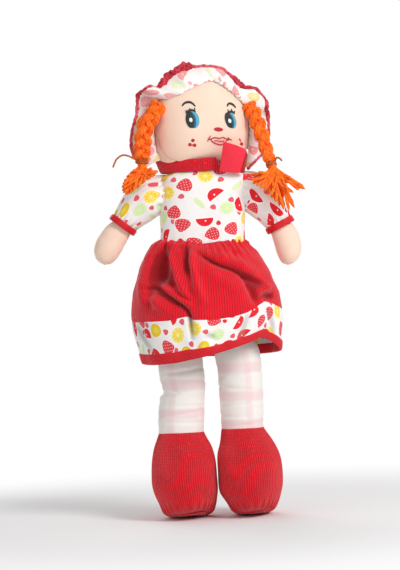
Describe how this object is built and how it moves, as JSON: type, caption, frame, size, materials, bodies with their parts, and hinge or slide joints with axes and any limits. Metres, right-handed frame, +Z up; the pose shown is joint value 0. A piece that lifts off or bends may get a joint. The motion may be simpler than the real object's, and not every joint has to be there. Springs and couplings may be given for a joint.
{
  "type": "rag doll",
  "caption": "Soft rag doll in a fruit-print bodice and gathered skirt, with a frilled bonnet, yarn braids, jointed arms, legs and head.",
  "frame": {"origin": "under the middle of the doll, on the surface that its soles stand on", "axes": "+Z up along the body, the doll faces -Y, and its left side is +X"},
  "size_m": [0.2035, 0.1217, 0.4551],
  "materials": {
    "skin_cloth": "matte",
    "stripe_cloth": "matte",
    "print_cloth": "matte",
    "red_corduroy": "matte",
    "shoe_corduroy": "matte",
    "red_satin": "satin",
    "red_binding": "matte",
    "hair_yarn": "matte",
    "tie_yarn": "matte",
    "fibre_filling": "matte"
  },
  "bodies": {
    "torso": {"torso_cover": "skin_cloth", "torso_stuffing": "fibre_filling", "bodice": "print_cloth", "skirt": "red_corduroy", "skirt_print_band": "print_cloth", "hem_binding": "red_binding", "collar_band": "red_corduroy", "collar_flap": "red_satin"},
    "neck": {"neck": "skin_cloth"},
    "head": {"face_panel": "skin_cloth", "head_back_panel": "skin_cloth", "head_stuffing": "fibre_filling", "bonnet_crown": "print_cloth", "bonnet_frill": "print_cloth", "frill_binding": "red_binding"},
    "left_braid": {"left_braid": "hair_yarn", "left_braid_tie": "tie_yarn", "left_braid_tassel": "hair_yarn"},
    "left_shoulder": {"left_shoulder_seam": "skin_cloth"},
    "left_arm": {"left_arm_cover": "skin_cloth", "left_arm_stuffing": "fibre_filling", "left_sleeve": "print_cloth", "left_sleeve_binding": "red_binding"},
    "left_leg": {"left_leg_cover": "stripe_cloth", "left_leg_stuffing": "fibre_filling", "left_shoe_upper": "shoe_corduroy", "left_shoe_sole": "shoe_corduroy", "left_shoe_stuffing": "fibre_filling"},
    "right_braid": {"right_braid": "hair_yarn", "right_braid_tie": "tie_yarn", "right_braid_tassel": "hair_yarn"},
    "right_shoulder": {"right_shoulder_seam": "skin_cloth"},
    "right_arm": {"right_arm_cover": "skin_cloth", "right_arm_stuffing": "fibre_filling", "right_sleeve": "print_cloth", "right_sleeve_binding": "red_binding"},
    "right_leg": {"right_leg_cover": "stripe_cloth", "right_leg_stuffing": "fibre_filling", "right_shoe_upper": "shoe_corduroy", "right_shoe_sole": "shoe_corduroy", "right_shoe_stuffing": "fibre_filling"}
  },
  "joints": [
    {"name": "neck_turn", "type": "hinge", "parent": "torso", "child": "neck", "pos_m": [0.0054, 0, 0.345], "axis": [0, 0, 1], "range_deg": [-50, 25]},
    {"name": "neck_nod", "type": "hinge", "parent": "neck", "child": "head", "pos_m": [0.0054, 0, 0.3563], "axis": [0.9563, 0.2924, 0], "range_deg": [-15, 15], "deforming": ["collar_band", "collar_flap"]},
    {"name": "left_shoulder_raise", "type": "hinge", "parent": "torso", "child": "left_shoulder", "pos_m": [0.0579, 0, 0.318], "axis": [0, -1, 0], "range_deg": [-8, 60]},
    {"name": "left_shoulder_swing", "type": "hinge", "parent": "left_shoulder", "child": "left_arm", "pos_m": [0.0579, 0, 0.318], "axis": [-1, 0, 0], "range_deg": [-35, 50], "deforming": ["left_sleeve", "left_sleeve_binding"]},
    {"name": "left_hip_swing", "type": "hinge", "parent": "torso", "child": "left_leg", "pos_m": [0.0269, 0, 0.20205], "axis": [-1, 0, 0], "range_deg": [-30, 95], "deforming": ["skirt", "skirt_print_band", "hem_binding"]},
    {"name": "left_braid_swing", "type": "hinge", "parent": "head", "child": "left_braid", "pos_m": [0.05294, -0.00157, 0.4112], "axis": [0, -1, 0], "range_deg": [0, 50]},
    {"name": "right_shoulder_raise", "type": "hinge", "parent": "torso", "child": "right_shoulder", "pos_m": [-0.0471, 0, 0.318], "axis": [0, 1, 0], "range_deg": [-18, 50]},
    {"name": "right_shoulder_swing", "type": "hinge", "parent": "right_shoulder", "child": "right_arm", "pos_m": [-0.0471, 0, 0.318], "axis": [-1, 0, 0], "range_deg": [-35, 50], "deforming": ["right_sleeve", "right_sleeve_binding"]},
    {"name": "right_hip_swing", "type": "hinge", "parent": "torso", "child": "right_leg", "pos_m": [-0.0161, 0, 0.20205], "axis": [-1, 0, 0], "range_deg": [-30, 95]},
    {"name": "right_braid_swing", "type": "hinge", "parent": "head", "child": "right_braid", "pos_m": [-0.03218, -0.02759, 0.415], "axis": [0, 1, 0], "range_deg": [0, 50]}
  ]
}
